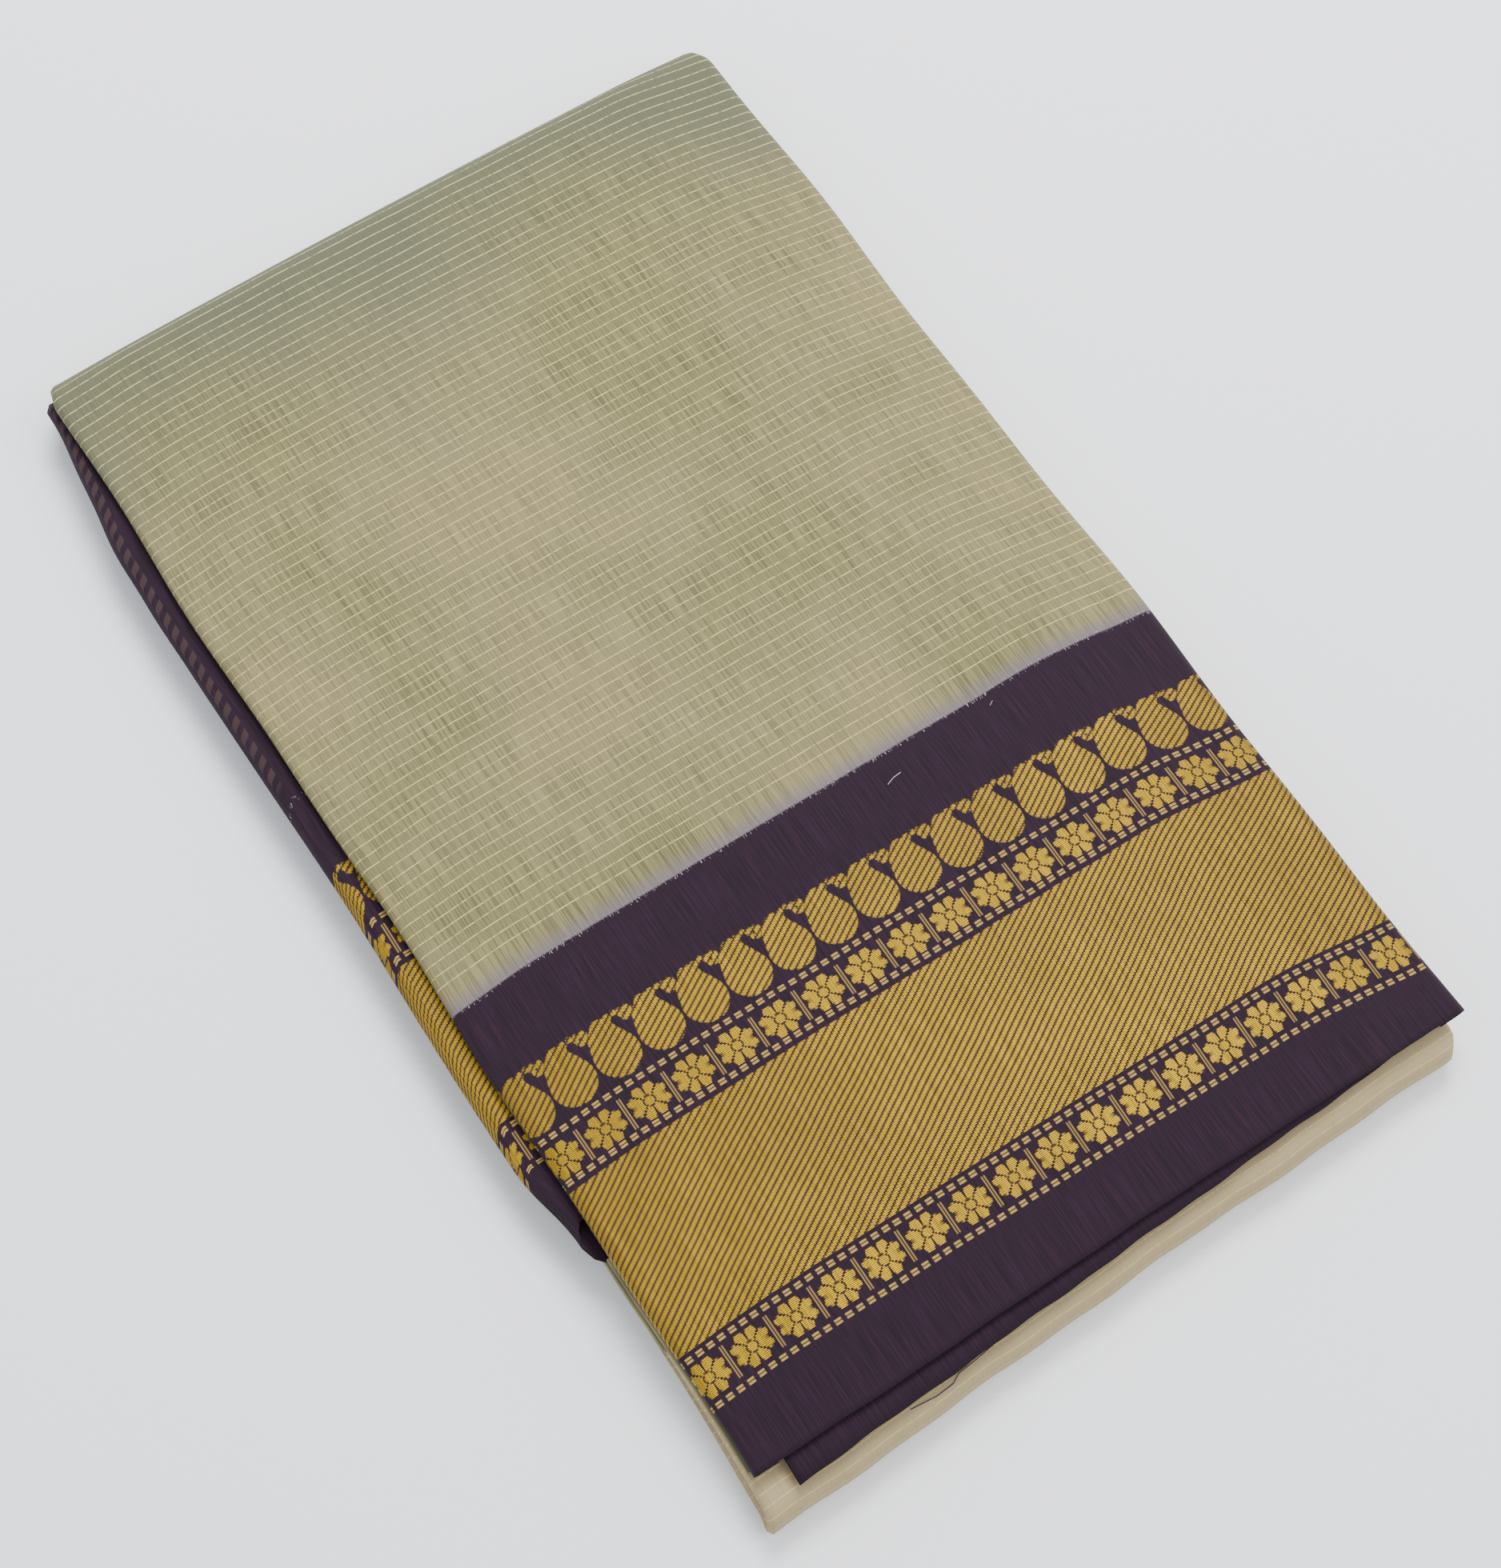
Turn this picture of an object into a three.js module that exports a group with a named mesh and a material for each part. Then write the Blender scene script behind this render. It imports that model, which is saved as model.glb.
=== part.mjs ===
// A cotton saree, folded flat into a pack as it is kept on a shelf. Millimetres, +Z up.
// The long cloth is first folded along its length into a thick strip, and the strip is then folded in three,
// like a letter: a top panel, a base panel that lies on the floor, and a tucked panel between them.
// +X runs along the woven border, and +Y runs from the selvedge that shows to the big fold.
import * as THREE from 'three';

// Driving sizes of the pack.
const PACK_WIDTH = 239;
const PACK_LENGTH = 393;
const CLOTH = 1.2;
const SHEET_GAP = 0.35;
const PANEL_GAP = 0.6;

// Thickness of the folded strip in each of the three panels.
const TOP_PANEL = 6.9;
const TUCKED_PANEL = 5.7;
const BASE_PANEL = 5.7;

// The base and tucked panels fold round each other at the selvedge end, and the whole pack at the far end.
const TUCKED_TOP = BASE_PANEL + PANEL_GAP + TUCKED_PANEL;
const PACK_HEIGHT = TUCKED_TOP + PANEL_GAP + TOP_PANEL;
const FAR_FOLD_RADIUS = PACK_HEIGHT / 2;
const NEAR_FOLD_RADIUS = TUCKED_TOP / 2;
const NEAR_FOLD_REACH = 10.4;

// Turned edges: how deep a fold is, and how far its turned-in leaf runs under the panel.
const LEAF = 8;
const TOP_LEFT_FOLD = 4.1;
const BASE_LEFT_FOLD = 2.75;
const BASE_RIGHT_FOLD = 5.4;

// Towards its selvedge the top panel thins, as the layers under it stop short.
const SELVEDGE_THINNING = 2.8;
const THINNING_REACH = 68;

// The second stretch shows past the first one's selvedge, most at the left.
const SECOND_CLOTH = 1.0;
const SECOND_INSET = 9.4;
const SECOND_REACH = 4.0;
const SECOND_SLANT = 3.6;
const SELVEDGE_SLANT = 0.9;
const SECOND_LENGTH = 108;

// The pallu is folded in at the left, sticks out there, and stops short of the selvedge.
const PALLU_PROUD = 7.4;
const PALLU_FOLD = 2.45;
const PALLU_CLOTH = 1.05;
const PALLU_DEPTH = 42;
const PALLU_SHORT = 72;

const HALF_WIDTH = PACK_WIDTH / 2;
const HALF_LENGTH = PACK_LENGTH / 2;
const FAR_CENTRE = HALF_LENGTH - FAR_FOLD_RADIUS;
const NEAR_CENTRE = -HALF_LENGTH - NEAR_FOLD_REACH + NEAR_FOLD_RADIUS;
const TAIL_END = -HALF_LENGTH + 42;
const TUCKED_END = FAR_CENTRE - 16;
const SECOND_END = -HALF_LENGTH - SECOND_REACH + SECOND_LENGTH;
const FINE_STEP = 15;
const COARSE_STEP = 30;
const FINE_ZONE = 105;
const CORE_HALF = 78;
const CORE_STEPS = 4;
const EDGE_STEPS = 4;
const NOSE_STEPS = 4;
const FAR_FOLD_STEPS = 9;
const NEAR_FOLD_STEPS = 7;

const ECRU = 0xb3ab8c;
const AUBERGINE = 0x3b2440;

/** Smooth rise from 0 at low to 1 at high. */
function smooth(value, low, high) {
  const t = Math.min(1, Math.max(0, (value - low) / (high - low)));
  return t * t * (3 - 2 * t);
}

// How the pressed pack departs from a plain block, as shares of its height.
const SETTLE = { crown: 0.07, rightEdge: 0.1, leftEdge: 0.05, edgeReach: 34 };

// Slow waves of the two side edges, in millimetres of sideways drift.
const EDGE_WAVES = [
  { reach: 0.55, length: 171, shift: 0.4 },
  { reach: 0.35, length: 83, shift: 2.1 },
];
const FAR_EDGE_ARCH = 1.3;

/** Settles a point of the straight pack into the soft one. The map never crosses itself, so gaps stay open. */
function settle(x, y, z) {
  const across = Math.min(1, Math.abs(x) / HALF_WIDTH);
  const along = Math.min(1, Math.abs(y) / HALF_LENGTH);
  let share = 1 + SETTLE.crown * (1 - across ** 2) * (1 - along ** 2);
  share -= SETTLE.rightEdge * smooth(x, HALF_WIDTH - SETTLE.edgeReach, HALF_WIDTH + 4);
  share -= SETTLE.leftEdge * smooth(-x, HALF_WIDTH - SETTLE.edgeReach, HALF_WIDTH + 4);
  let drift = 0;
  for (const wave of EDGE_WAVES) {
    const turn = (2 * Math.PI * y) / wave.length + wave.shift + (x > 0 ? 1.7 : 0) + z * 0.06;
    drift += wave.reach * Math.sin(turn) * across ** 3;
  }
  const arch = FAR_EDGE_ARCH * (1 - across ** 2) * smooth(y, 0, HALF_LENGTH);
  return new THREE.Vector3(x + drift, y + arch, z * share);
}

/** Places along the pack, from -y to +y, that every straight run shares, closer together at the selvedge end. */
const SHARED_Y = [];
for (let y = -HALF_LENGTH; y < HALF_LENGTH; y += y < -HALF_LENGTH + FINE_ZONE ? FINE_STEP : COARSE_STEP) {
  SHARED_Y.push(y);
}

/** Stations along a straight run of a panel, facing up or down, through the shared places between its ends. */
function straight(from, to, z, up) {
  const between = SHARED_Y.filter((y) => (y - from) * (to - y) > 0 && Math.min(Math.abs(y - from), Math.abs(y - to)) > 3);
  if (to < from) between.reverse();
  return [from, ...between, to].map((y) => ({ y, z, outY: 0, outZ: up, turn: 0 }));
}

/** Stations round a half-circle fold, from one face of the pack to the other. */
function fold(centreY, radius, side, downwards, steps) {
  const run = [];
  for (let i = 1; i < steps; i++) {
    const angle = (Math.PI * i) / steps;
    const outY = side * Math.sin(angle);
    const outZ = (downwards ? 1 : -1) * Math.cos(angle);
    run.push({ y: centreY + outY * radius, z: radius + outZ * radius, outY, outZ, turn: Math.sin(angle) });
  }
  return run;
}

/** The route of the folded strip: its outer face, from the selvedge that shows to the tucked end. */
const thinning = (y) => SELVEDGE_THINNING * smooth(-y, HALF_LENGTH - THINNING_REACH, HALF_LENGTH);
const topRun = (from, to) => straight(from, to, PACK_HEIGHT, 1).map((s) => ({ ...s, z: s.z - thinning(s.y) }));
const farFold = () => fold(FAR_CENTRE, FAR_FOLD_RADIUS, 1, true, FAR_FOLD_STEPS);
const baseRun = (from, to) => straight(from, to, 0, -1);
const nearFold = () => fold(NEAR_CENTRE, NEAR_FOLD_RADIUS, -1, false, NEAR_FOLD_STEPS);
const tuckedRun = (from, to) => straight(from, to, TUCKED_TOP, 1);

/** Points of a rounded nose that closes a leaf of cloth between two depths; side is 1 at the right. */
function nose(edge, depthFrom, depthTo, side) {
  const radius = Math.abs(depthTo - depthFrom) / 2;
  const middle = (depthFrom + depthTo) / 2;
  const points = [];
  for (let i = 0; i <= NOSE_STEPS; i++) {
    const angle = (Math.PI * i) / NOSE_STEPS;
    const depth = middle + (depthFrom - middle) * Math.cos(angle);
    points.push({ x: edge - side * radius * (1 - Math.sin(angle)), depth });
  }
  return points;
}

/** Points straight across a face between two x, ends left out, through x that all the broad faces share. */
function across(fromX, toX, depth) {
  const side = fromX < toX ? -1 : 1;
  const places = [];
  for (let i = 1; i < EDGE_STEPS; i++) places.push(fromX + ((side * CORE_HALF - fromX) * i) / EDGE_STEPS);
  for (let i = 0; i <= CORE_STEPS; i++) places.push(side * CORE_HALF * (1 - (2 * i) / CORE_STEPS));
  for (let i = 1; i < EDGE_STEPS; i++) places.push(-side * CORE_HALF + ((toX + side * CORE_HALF) * i) / EDGE_STEPS);
  return places.map((x) => ({ x, depth }));
}

/** How deep the top stretch's turned edges and the panel itself are at a station, past the far fold too. */
function panelDepths(station) {
  const onTop = station.outZ > 0.99;
  const past = onTop ? 0 : smooth(PACK_HEIGHT - station.z, 0, PACK_HEIGHT);
  const thin = onTop ? thinning(station.y) : 0;
  return {
    past,
    leftFold: TOP_LEFT_FOLD + (BASE_LEFT_FOLD - TOP_LEFT_FOLD) * past - 0.48 * thin,
    rightFold: TOP_PANEL + (BASE_RIGHT_FOLD - TOP_PANEL) * past - thin,
    panel: TOP_PANEL + (BASE_PANEL - TOP_PANEL) * past - thin,
  };
}

/** Ring of a wall of cloth whose left and right edges are turned in under it. */
function turnedWall({ left, right, leftFold, rightFold, leaf, cloth }) {
  const outer = [
    { x: left + leaf, depth: leftFold },
    ...nose(left, leftFold, 0, -1),
    ...across(left + leftFold / 2, right - rightFold / 2, 0),
    ...nose(right, 0, rightFold, 1),
    { x: right - leaf, depth: rightFold },
  ];
  const inner = [
    { x: left + leaf, depth: leftFold - cloth },
    ...nose(left + cloth, leftFold - cloth, cloth, -1),
    ...across(left + leftFold / 2, right - rightFold / 2, cloth),
    ...nose(right - cloth, cloth, rightFold - cloth, 1),
    { x: right - leaf, depth: rightFold - cloth },
  ];
  return [...outer, ...inner.reverse()];
}

/** Ring of a single leaf of cloth with rounded edges. */
function flatLeaf({ left, right, depth, cloth }) {
  return [
    ...nose(left, depth + cloth, depth, -1),
    ...across(left, right, depth),
    ...nose(right, depth, depth + cloth, 1),
    ...across(right, left, depth + cloth),
  ];
}

/** Ring of a hairpin: a cloth folded back under itself at its left edge. */
function hairpin({ left, right, depth, height, cloth }) {
  const outer = [{ x: right, depth: depth + height }, ...nose(left, depth + height, depth, -1), { x: right, depth }];
  const inner = [
    { x: right, depth: depth + height - cloth },
    ...nose(left + cloth, depth + height - cloth, depth + cloth, -1),
    { x: right, depth: depth + cloth },
  ];
  return [...outer, ...inner.reverse()];
}

/** Ring of the hidden layers: two rounded layers at each side, each with its own edge. */
function layered({ leftOuter, leftInner, rightOuter, rightInner, outer, leftSplit, rightSplit, inner }) {
  const groove = Math.max(leftOuter, leftInner) + 3;
  return [
    ...nose(leftInner, inner, leftSplit + SHEET_GAP, -1),
    { x: groove, depth: leftSplit + SHEET_GAP },
    { x: groove, depth: leftSplit },
    ...nose(leftOuter, leftSplit, outer, -1),
    ...across(leftOuter, rightOuter, outer),
    ...nose(rightOuter, outer, rightSplit, 1),
    ...nose(rightInner, rightSplit + 0.02, inner, 1),
    ...across(rightInner, leftInner, inner),
  ];
}

/** A closed solid through rings of points carried along stations, settled into the soft pack. */
function sweep(name, colour, stations, ringAt) {
  const rings = stations.map((station) => ringAt(station));
  const size = rings[0].length;
  const vertices = [];
  rings.forEach((ring, i) => {
    const station = stations[i];
    for (const point of ring) {
      const y = station.y - station.outY * point.depth + (point.slant ?? 0);
      const place = settle(point.x, y, station.z - station.outZ * point.depth);
      vertices.push(place.x, place.y, place.z);
    }
  });
  const faces = [];
  for (let i = 0; i + 1 < rings.length; i++) {
    for (let j = 0; j < size; j++) {
      const a = i * size + j;
      const b = i * size + ((j + 1) % size);
      faces.push(a, b, b + size, a, b + size, a + size);
    }
  }
  const last = (rings.length - 1) * size;
  for (const [a, b, c] of capFaces(rings[0])) faces.push(a, c, b);
  for (const [a, b, c] of capFaces(rings[rings.length - 1])) faces.push(last + a, last + b, last + c);
  const geometry = new THREE.BufferGeometry();
  geometry.setAttribute('position', new THREE.Float32BufferAttribute(vertices, 3));
  geometry.setIndex(signedVolume(vertices, faces) < 0 ? faces.reverse() : faces);
  geometry.computeVertexNormals();
  const material = new THREE.MeshStandardMaterial({ color: colour, roughness: 0.85, metalness: 0 });
  const mesh = new THREE.Mesh(geometry, material);
  mesh.name = name;
  return mesh;
}

/** Triangles that close a ring, wound the way the ring runs. */
function capFaces(ring) {
  const outline = ring.map((point) => new THREE.Vector2(point.x, point.depth));
  const clockwise = THREE.ShapeUtils.isClockWise(outline);
  const order = outline.map((_, i) => (clockwise ? outline.length - 1 - i : i));
  const triangles = THREE.ShapeUtils.triangulateShape(order.map((i) => outline[i]), []);
  return triangles.map((triangle) => {
    const [a, b, c] = triangle.map((i) => order[i]);
    return clockwise ? [a, c, b] : [a, b, c];
  });
}

/** Six times the volume that the faces enclose, negative when they point inwards. */
function signedVolume(vertices, faces) {
  const corner = (i) => new THREE.Vector3().fromArray(vertices, faces[i] * 3);
  let total = 0;
  for (let i = 0; i < faces.length; i += 3) {
    total += corner(i).dot(corner(i + 1).cross(corner(i + 2)));
  }
  return total;
}

/** Gives a ring's points the slant of a selvedge or fold, fading out along the cloth. */
function slanted(ring, amount, share) {
  for (const point of ring) point.slant = (amount * share * point.x) / HALF_WIDTH;
  return ring;
}

/** The stretch that shows from above, from its selvedge up the pack and over the far fold. */
function topStretch() {
  const stations = [...topRun(-HALF_LENGTH, FAR_CENTRE), ...farFold(), ...baseRun(FAR_CENTRE, FAR_CENTRE - 4)];
  return sweep('top_stretch', ECRU, stations, (station) => {
    const { leftFold, rightFold } = panelDepths(station);
    const tuck = 2.2 * station.turn;
    const ring = turnedWall({
      left: -HALF_WIDTH + tuck,
      right: HALF_WIDTH - tuck,
      leftFold,
      rightFold,
      leaf: LEAF,
      cloth: CLOTH,
    });
    return slanted(ring, -SELVEDGE_SLANT, smooth(-station.y, HALF_LENGTH - 90, HALF_LENGTH));
  });
}

/** The next stretch down, whose selvedge shows below the first one's. */
function secondStretch() {
  const start = -HALF_LENGTH - SECOND_REACH;
  return sweep('second_stretch', AUBERGINE, topRun(start, SECOND_END), (station) => {
    const ring = flatLeaf({
      left: -HALF_WIDTH + SECOND_INSET,
      right: HALF_WIDTH - CLOTH - 1.5,
      depth: CLOTH + SHEET_GAP,
      cloth: SECOND_CLOTH,
    });
    return slanted(ring, SECOND_SLANT, smooth(-station.y, HALF_LENGTH - 90, -start));
  });
}

/** The folded pallu, proud of the pack's left side and short of its selvedge. */
function palluStretch() {
  const stations = [...topRun(-HALF_LENGTH + PALLU_SHORT, FAR_CENTRE), ...farFold()];
  return sweep('pallu_stretch', AUBERGINE, stations, (station) => {
    const shortEnd = smooth(-station.y, HALF_LENGTH - PALLU_SHORT - 34, HALF_LENGTH - PALLU_SHORT);
    const farEnd = smooth(station.y, FAR_CENTRE - 60, HALF_LENGTH);
    const drop = smooth(PACK_HEIGHT - station.z, 0, PACK_HEIGHT);
    const left = -HALF_WIDTH - PALLU_PROUD + 3.4 * shortEnd + 5.6 * farEnd + 7 * drop;
    return hairpin({
      left,
      right: -HALF_WIDTH + PALLU_DEPTH - 6,
      depth: TOP_LEFT_FOLD + SHEET_GAP,
      height: PALLU_FOLD,
      cloth: PALLU_CLOTH,
    });
  });
}

/** The stretch that lies on the floor and goes round the near fold into the pack. */
function underStretch() {
  const stations = [
    ...baseRun(FAR_CENTRE - 4 - SHEET_GAP, NEAR_CENTRE),
    ...nearFold(),
    ...tuckedRun(NEAR_CENTRE, TAIL_END),
  ];
  return sweep('under_stretch', ECRU, stations, (station) => {
    const nearEnd = smooth(-station.y, HALF_LENGTH - 90, -NEAR_CENTRE);
    const ring = turnedWall({
      left: -HALF_WIDTH - 1.6 * nearEnd - 1.2 * station.turn,
      right: HALF_WIDTH - 1.5 - 3.5 * nearEnd - 2.6 * station.turn,
      leftFold: BASE_LEFT_FOLD,
      rightFold: BASE_RIGHT_FOLD,
      leaf: LEAF,
      cloth: CLOTH,
    });
    return ring;
  });
}

/** The layers of each panel that don't show, as one strip folded in three with two layers at each edge. */
function innerLayers() {
  const palluStart = -HALF_LENGTH + PALLU_SHORT;
  const insideLeaf = HALF_WIDTH - LEAF - 0.8;
  const insideFold = HALF_WIDTH - CLOTH - 0.65;
  const besidePallu = -HALF_WIDTH + PALLU_DEPTH - 5;
  const underTop = CLOTH + SHEET_GAP;
  const underSecond = underTop + SECOND_CLOTH + SHEET_GAP;
  const enclosed = { leftOuter: -insideLeaf, rightOuter: insideFold, rightInner: insideLeaf };
  const selvedgeZone = { ...enclosed, rightOuter: insideLeaf, leftInner: -HALF_WIDTH - 0.6, outer: underSecond };
  const secondZone = { ...enclosed, leftInner: besidePallu, outer: underSecond };
  const topZone = { ...enclosed, leftInner: besidePallu, outer: underTop };
  const baseZone = { ...enclosed, leftInner: -HALF_WIDTH - 0.2, outer: underTop };
  const tuckedZone = {
    leftOuter: -HALF_WIDTH - 1.4,
    leftInner: -HALF_WIDTH + 0.4,
    rightOuter: HALF_WIDTH - 2.6,
    rightInner: HALF_WIDTH - 1.4,
    outer: 0,
  };
  const put = (run, zone) => run.map((station) => ({ ...station, ...zone }));
  const stations = [
    ...put(topRun(-HALF_LENGTH + 3, palluStart - 0.8), selvedgeZone),
    ...put(topRun(palluStart - 0.4, SECOND_END + 0.4), secondZone),
    ...put([...topRun(SECOND_END + 0.8, FAR_CENTRE), ...farFold(), ...baseRun(FAR_CENTRE, FAR_CENTRE - 0.5)], topZone),
    ...put([...baseRun(FAR_CENTRE - 3.4, NEAR_CENTRE), ...nearFold(), ...tuckedRun(NEAR_CENTRE, TAIL_END + 0.5)], baseZone),
    ...put(tuckedRun(TAIL_END + 1.1, TUCKED_END), tuckedZone),
  ];
  return sweep('inner_layers', ECRU, stations, (station) => {
    const { leftFold, rightFold, panel } = panelDepths(station);
    const inTop = station.leftInner === besidePallu || station.outer === underSecond;
    const nearEnd = inTop ? 0 : smooth(-station.y, HALF_LENGTH - 90, -NEAR_CENTRE);
    const squeeze = inTop ? 2.2 * station.turn : 1.5 + 3.5 * nearEnd + 2.6 * station.turn;
    const leftSplit = inTop ? leftFold : BASE_LEFT_FOLD;
    const rightSplit = (inTop ? rightFold : BASE_RIGHT_FOLD) - CLOTH - SHEET_GAP;
    const ring = layered({
      ...station,
      leftOuter: station.leftOuter + (inTop ? squeeze : 0),
      rightOuter: station.rightOuter - squeeze,
      rightInner: station.rightInner - squeeze,
      leftSplit: Math.max(leftSplit, station.outer + 0.3),
      rightSplit: Math.max(rightSplit, station.outer + 0.3),
      inner: inTop ? panel : BASE_PANEL,
    });
    return ring;
  });
}

const saree = new THREE.Group();
saree.add(topStretch(), secondStretch(), palluStretch(), underStretch(), innerLayers());

// The origin is the middle of the pack's box, on the floor.
const extent = new THREE.Box3().setFromObject(saree);
const middle = extent.getCenter(new THREE.Vector3());
saree.position.set(-middle.x, -middle.y, -extent.min.z);

export default saree;
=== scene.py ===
"""Looks of a folded cotton saree.

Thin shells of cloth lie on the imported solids, and a shader node group draws the woven border and body.
"""

import logging
import math
from collections.abc import Callable
from dataclasses import dataclass
from enum import Enum

import bmesh
import bpy
from mathutils import Matrix, Vector


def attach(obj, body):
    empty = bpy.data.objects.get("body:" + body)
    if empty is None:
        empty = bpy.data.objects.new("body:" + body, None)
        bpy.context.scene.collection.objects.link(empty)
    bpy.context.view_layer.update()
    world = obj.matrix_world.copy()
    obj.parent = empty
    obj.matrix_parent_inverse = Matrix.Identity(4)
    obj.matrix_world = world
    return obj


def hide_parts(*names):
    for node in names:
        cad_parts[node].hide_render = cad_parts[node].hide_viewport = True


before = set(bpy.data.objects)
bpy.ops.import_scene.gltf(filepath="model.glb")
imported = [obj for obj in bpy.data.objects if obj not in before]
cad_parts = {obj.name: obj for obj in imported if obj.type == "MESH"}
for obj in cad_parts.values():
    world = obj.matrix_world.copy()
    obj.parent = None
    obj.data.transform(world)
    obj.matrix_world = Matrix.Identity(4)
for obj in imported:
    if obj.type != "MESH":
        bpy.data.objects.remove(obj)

log = logging.getLogger("saree")
MM = 0.001
Colour = tuple[float, float, float]


def srgb(red: int, green: int, blue: int) -> Colour:
    """Turns a display colour into a linear one.

    Args:
        red: Red from 0 to 255.
        green: Green from 0 to 255.
        blue: Blue from 0 to 255.

    Returns:
        The linear colour.
    """
    return tuple(((c / 255 + 0.055) / 1.055) ** 2.4 for c in (red, green, blue))


def smooth(value: float, low: float, high: float) -> float:
    """Rises smoothly from 0 at low to 1 at high.

    Args:
        value: The place asked for.
        low: Where the rise starts.
        high: Where it ends.

    Returns:
        A share from 0 to 1.
    """
    t = min(1.0, max(0.0, (value - low) / (high - low)))
    return t * t * (3 - 2 * t)


@dataclass(frozen=True)
class Wave:
    """A wave down the pack's side: its reach and whole length in millimetres, and its shift in radians."""

    reach: float
    length: float
    shift: float


@dataclass(frozen=True)
class Pack:
    """Sizes of the folded pack in millimetres, the same as the solids'."""

    width: float = 239.0
    length: float = 393.0
    sheet_gap: float = 0.35
    cloth: float = 1.2
    top_panel: float = 6.9
    tucked_top: float = 12.0
    height: float = 19.5
    near_reach: float = 10.4
    thinning: float = 2.8
    thinning_reach: float = 68.0
    top_left_fold: float = 4.1
    base_left_fold: float = 2.75
    base_right_fold: float = 5.4
    leaf: float = 8.0
    slant_reach: float = 90.0
    crown: float = 0.07
    right_drop: float = 0.1
    left_drop: float = 0.05
    drop_reach: float = 34.0
    drop_past: float = 4.0
    arch: float = 1.3
    edge_waves: tuple[Wave, ...] = (Wave(0.55, 171, 0.4), Wave(0.35, 83, 2.1))
    right_edge_shift: float = 1.7
    turn_per_height: float = 0.06
    row_shift: tuple[float, float, float] = (3.7, 4.55, 0.0)

    @property
    def half_width(self) -> float:
        """Half of the pack's width."""
        return self.width / 2

    @property
    def half_length(self) -> float:
        """Half of the pack's length."""
        return self.length / 2

    @property
    def far_radius(self) -> float:
        """Outer radius of the far fold."""
        return self.height / 2

    @property
    def far_centre(self) -> float:
        """Where the far fold starts along the pack."""
        return self.half_length - self.far_radius

    @property
    def near_centre(self) -> float:
        """Where the near fold starts along the pack."""
        return -self.half_length - self.near_reach + self.tucked_top / 2

    def thin(self, y: float) -> float:
        """Gives how much thinner the top panel is near its selvedge.

        Args:
            y: Place along the pack.

        Returns:
            Millimetres taken off the panel.
        """
        return self.thinning * smooth(-y, self.half_length - self.thinning_reach, self.half_length)

    def settle(self, x: float, y: float, z: float) -> Vector:
        """Settles a point of the straight pack into the soft one.

        Args:
            x: Place across the pack.
            y: Place along it.
            z: Height over the floor.

        Returns:
            The settled point in millimetres.
        """
        across = min(1.0, abs(x) / self.half_width)
        along = min(1.0, abs(y) / self.half_length)
        share = 1 + self.crown * (1 - across**2) * (1 - along**2)
        drop_start, drop_end = self.half_width - self.drop_reach, self.half_width + self.drop_past
        share -= self.right_drop * smooth(x, drop_start, drop_end)
        share -= self.left_drop * smooth(-x, drop_start, drop_end)
        drift = 0.0
        side_shift = self.right_edge_shift if x > 0 else 0.0
        for wave in self.edge_waves:
            turn = 2 * math.pi * y / wave.length + wave.shift + side_shift + z * self.turn_per_height
            drift += wave.reach * math.sin(turn) * across**3
        arch = self.arch * (1 - across**2) * smooth(y, 0, self.half_length)
        return Vector((x + drift, y + arch, z * share))


PACK = Pack()


@dataclass(frozen=True)
class Ripple:
    """A small wave along an edge: its reach and the length of one radian in millimetres, and its shift."""

    reach: float
    radian: float
    shift: float = 0.0


def ripple(x: float, ripples: tuple[Ripple, ...]) -> float:
    """Adds up the small waves along an edge.

    Args:
        x: Place along the edge.
        ripples: The waves.

    Returns:
        Their sum in millimetres.
    """
    return sum(part.reach * math.sin(x / part.radian + part.shift) for part in ripples)


@dataclass(frozen=True)
class Station:
    """A place along a stretch's route: its outer face, which way is out, and how far round a fold it is."""

    y: float
    z: float
    out_y: float
    out_z: float
    turn: float = 0.0


class Route:
    """The way a stretch runs through the pack, as straight runs and half-circle folds."""

    def __init__(self, pack: Pack) -> None:
        """Starts an empty route.

        Args:
            pack: The pack's sizes.
        """
        self.pack = pack
        self.parts: list[tuple[float, Callable[[float], Station]]] = []

    def straight(self, start: float, end: float, z: float, up: int, thins: bool = False) -> "Route":
        """Adds a straight run.

        Args:
            start: Where it starts along the pack.
            end: Where it ends.
            z: Height of its outer face.
            up: 1 when it faces up, -1 when it faces down.
            thins: Whether it comes down with the thinning top panel.

        Returns:
            The route itself.
        """

        def at(share: float) -> Station:
            """Gives the station at a share of the run."""
            y = start + (end - start) * share
            return Station(y, z - (self.pack.thin(y) if thins else 0), 0, up)

        self.parts.append((abs(end - start), at))
        return self

    def fold(self, centre: float, radius: float, side: int, downwards: bool) -> "Route":
        """Adds a half-circle fold.

        Args:
            centre: Where its centre lies along the pack.
            radius: Its outer radius.
            side: 1 at the far end, -1 at the near end.
            downwards: Whether the cloth comes down round it.

        Returns:
            The route itself.
        """

        def at(share: float) -> Station:
            """Gives the station at a share of the fold.

            Args:
                share: How far round the fold, from 0 to 1.

            Returns:
                The station there.
            """
            angle = math.pi * share
            out_y = side * math.sin(angle)
            out_z = (1 if downwards else -1) * math.cos(angle)
            y, z = centre + out_y * radius, radius + out_z * radius
            return Station(y, z, out_y, out_z, math.sin(angle))

        self.parts.append((math.pi * radius, at))
        return self

    @property
    def length(self) -> float:
        """Length of the whole route."""
        return sum(part[0] for part in self.parts)

    def at(self, travelled: float) -> Station:
        """Finds the station at a length along the route.

        Args:
            travelled: Length from the route's start.

        Returns:
            The station there.
        """
        for length, place in self.parts:
            if travelled <= length:
                return place(travelled / length)
            travelled -= length
        return self.parts[-1][1](1.0)


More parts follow.
